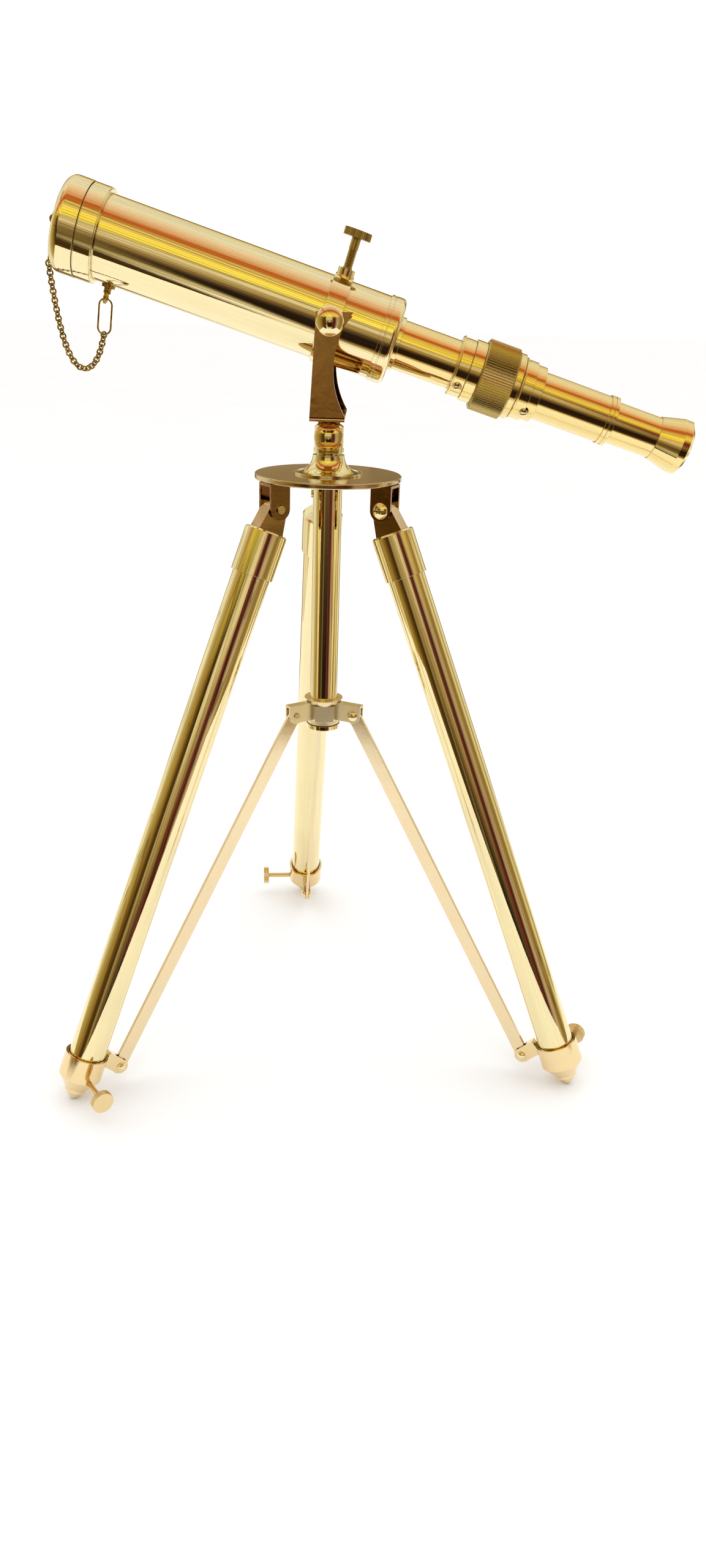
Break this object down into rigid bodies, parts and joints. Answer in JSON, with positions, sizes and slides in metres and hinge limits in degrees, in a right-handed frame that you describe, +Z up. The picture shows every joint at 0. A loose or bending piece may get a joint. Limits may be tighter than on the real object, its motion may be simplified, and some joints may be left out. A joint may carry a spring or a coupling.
{
  "type": "tabletop telescope on a tripod",
  "caption": "Refracting telescope with a draw tube and knurled focus ring, held in a tilting yoke on a folding tripod with a spider brace.",
  "frame": {"origin": "on the floor plane under the tripod's centre column, where the three foot points stand", "axes": "+Z up; the objective end points along -X and up, the eyepiece end along +X and down; the tilt axis lies along Y"},
  "size_m": [0.36, 0.3171, 0.5116],
  "materials": {
    "polished_brass": "polished and lacquered",
    "pale_brass": "polished, pale",
    "knurled_brass": "knurled, satin",
    "aged_brass": "antiqued",
    "blackened_brass": "matt black inside",
    "lens_glass": "polished, coated"
  },
  "bodies": {
    "head": {"head_disc": "pale_brass", "bell_base": "polished_brass", "centre_column": "polished_brass", "column_end_cap": "polished_brass", "leg_brackets": "polished_brass", "leg_hinge_screws": "polished_brass"},
    "leg_1": {"leg_tongue_1": "polished_brass", "leg_ferrule_1": "polished_brass", "leg_tube_1": "polished_brass", "foot_collar_1": "pale_brass", "strut_rivet_1": "pale_brass"},
    "inner_leg_1": {"inner_leg_1": "pale_brass"},
    "foot_screw_1": {"foot_thumbscrew_1": "knurled_brass"},
    "strut_1": {"strut_1": "pale_brass"},
    "leg_2": {"leg_tongue_2": "polished_brass", "leg_ferrule_2": "polished_brass", "leg_tube_2": "polished_brass", "foot_collar_2": "pale_brass", "strut_rivet_2": "pale_brass"},
    "inner_leg_2": {"inner_leg_2": "pale_brass"},
    "foot_screw_2": {"foot_thumbscrew_2": "knurled_brass"},
    "strut_2": {"strut_2": "pale_brass"},
    "leg_3": {"leg_tongue_3": "polished_brass", "leg_ferrule_3": "polished_brass", "leg_tube_3": "polished_brass", "foot_collar_3": "pale_brass", "strut_rivet_3": "pale_brass"},
    "inner_leg_3": {"inner_leg_3": "pale_brass"},
    "foot_screw_3": {"foot_thumbscrew_3": "knurled_brass"},
    "strut_3": {"strut_3": "pale_brass"},
    "hub": {"spider_hub": "pale_brass", "hub_screws": "pale_brass"},
    "post": {"pan_post": "polished_brass", "pan_nut": "polished_brass", "knuckle_screw": "polished_brass"},
    "yoke": {"yoke": "polished_brass"},
    "cradle": {"clamp_ring": "polished_brass", "yoke_pivot_screws": "polished_brass"},
    "clamp_screw": {"clamp_thumbscrew": "knurled_brass"},
    "tube": {"main_tube": "polished_brass", "rear_flange": "polished_brass", "objective_cell": "polished_brass", "objective_lens": "lens_glass", "lens_retainer": "blackened_brass", "tube_baffle": "blackened_brass", "chain_lug": "aged_brass", "chain": "aged_brass"},
    "cap": {"dust_cap": "polished_brass", "cap_eyelet": "aged_brass"},
    "draw": {"draw_tube": "polished_brass", "draw_guide": "polished_brass", "front_collar": "polished_brass", "front_collar_screw": "polished_brass"},
    "focus": {"focus_ring": "knurled_brass"},
    "eyepiece": {"eyepiece_tube": "polished_brass", "rear_collar": "polished_brass", "rear_collar_screw": "polished_brass", "eyepiece_barrel": "polished_brass", "eyecup": "polished_brass", "eye_lenses": "lens_glass"}
  },
  "joints": [
    {"name": "leg_fold_1", "type": "hinge", "parent": "head", "child": "leg_1", "pos_m": [-0.02913, -0.02116, 0.346], "axis": [0.5878, -0.809, 0], "range_deg": [0, 21]},
    {"name": "inner_leg_slide_1", "type": "slide", "parent": "leg_1", "child": "inner_leg_1", "axis": [-0.3096, -0.2249, -0.9239], "range_m": [0, 0.2]},
    {"name": "foot_screw_turn_1", "type": "hinge", "parent": "leg_1", "child": "foot_screw_1", "pos_m": [-0.13976, -0.10154, 0.01584], "axis": [0.5878, -0.809, 0], "range_deg": [0, 720]},
    {"name": "strut_swing_1", "type": "hinge", "parent": "hub", "child": "strut_1", "pos_m": [-0.01699, -0.01234, 0.22], "axis": [0.5878, -0.809, 0], "range_deg": [0, 32]},
    {"name": "leg_fold_2", "type": "hinge", "parent": "head", "child": "leg_2", "pos_m": [0.03289, -0.01464, 0.346], "axis": [0.4067, 0.9135, 0], "range_deg": [0, 21]},
    {"name": "inner_leg_slide_2", "type": "slide", "parent": "leg_2", "child": "inner_leg_2", "axis": [0.3496, -0.1557, -0.9239], "range_m": [0, 0.2]},
    {"name": "foot_screw_turn_2", "type": "hinge", "parent": "leg_2", "child": "foot_screw_2", "pos_m": [0.15782, -0.07027, 0.01584], "axis": [0.4067, 0.9135, 0], "range_deg": [0, 720]},
    {"name": "strut_swing_2", "type": "hinge", "parent": "hub", "child": "strut_2", "pos_m": [0.01918, -0.00854, 0.22], "axis": [0.4067, 0.9135, 0], "range_deg": [0, 32]},
    {"name": "leg_fold_3", "type": "hinge", "parent": "head", "child": "leg_3", "pos_m": [-0.00376, 0.0358, 0.346], "axis": [-0.9945, -0.1045, 0], "range_deg": [0, 21]},
    {"name": "inner_leg_slide_3", "type": "slide", "parent": "leg_3", "child": "inner_leg_3", "axis": [-0.04, 0.3806, -0.9239], "range_m": [0, 0.2]},
    {"name": "foot_screw_turn_3", "type": "hinge", "parent": "leg_3", "child": "foot_screw_3", "pos_m": [-0.01806, 0.17181, 0.01584], "axis": [-0.9945, -0.1045, 0], "range_deg": [0, 720]},
    {"name": "strut_swing_3", "type": "hinge", "parent": "hub", "child": "strut_3", "pos_m": [-0.00219, 0.02089, 0.22], "axis": [-0.9945, -0.1045, 0], "range_deg": [0, 32]},
    {"name": "hub_slide", "type": "slide", "parent": "head", "child": "hub", "axis": [0, 0, 1], "range_m": [0, 0.0195]},
    {"name": "pan_turn", "type": "hinge", "parent": "head", "child": "post", "pos_m": [0, 0, 0.3736], "axis": [0, 0, 1], "continuous": true},
    {"name": "knuckle_tilt", "type": "hinge", "parent": "post", "child": "yoke", "pos_m": [0, 0, 0.3835], "axis": [0, 1, 0], "range_deg": [-25, 25]},
    {"name": "telescope_tilt", "type": "hinge", "parent": "yoke", "child": "cradle", "pos_m": [0, 0, 0.4447], "axis": [0, -1, 0], "range_deg": [-30, 60]},
    {"name": "clamp_screw_turn", "type": "hinge", "parent": "cradle", "child": "clamp_screw", "pos_m": [0.00877, 0, 0.47339], "axis": [0.2924, 0, 0.9563], "range_deg": [0, 720]},
    {"name": "tube_slide", "type": "slide", "parent": "cradle", "child": "tube", "axis": [-0.9563, 0, 0.2924], "range_m": [-0.1, 0.022]},
    {"name": "cap_pull", "type": "slide", "parent": "tube", "child": "cap", "axis": [-0.9563, 0, 0.2924], "range_m": [0, 0.012], "deforming": ["chain"]},
    {"name": "draw_slide", "type": "slide", "parent": "tube", "child": "draw", "axis": [0.9563, 0, -0.2924], "range_m": [-0.031, 0.043]},
    {"name": "focus_turn", "type": "hinge", "parent": "draw", "child": "focus", "pos_m": [0.09085, 0, 0.41692], "axis": [0.9563, 0, -0.2924], "range_deg": [0, 360]},
    {"name": "eyepiece_slide", "type": "slide", "parent": "draw", "child": "eyepiece", "axis": [0.9563, 0, -0.2924], "range_m": [0, 0.008]}
  ],
  "couplings": [
    {"joint": "leg_fold_2", "follows": "leg_fold_1", "ratio": 1},
    {"joint": "leg_fold_3", "follows": "leg_fold_1", "ratio": 1},
    {"joint": "hub_slide", "follows": "leg_fold_1", "m_per_rad": 0.052176},
    {"joint": "strut_swing_1", "follows": "leg_fold_1", "ratio": 1.5049},
    {"joint": "strut_swing_2", "follows": "leg_fold_1", "ratio": 1.5049},
    {"joint": "strut_swing_3", "follows": "leg_fold_1", "ratio": 1.5049},
    {"joint": "focus_turn", "follows": "eyepiece_slide", "rad_per_m": 785.4}
  ]
}
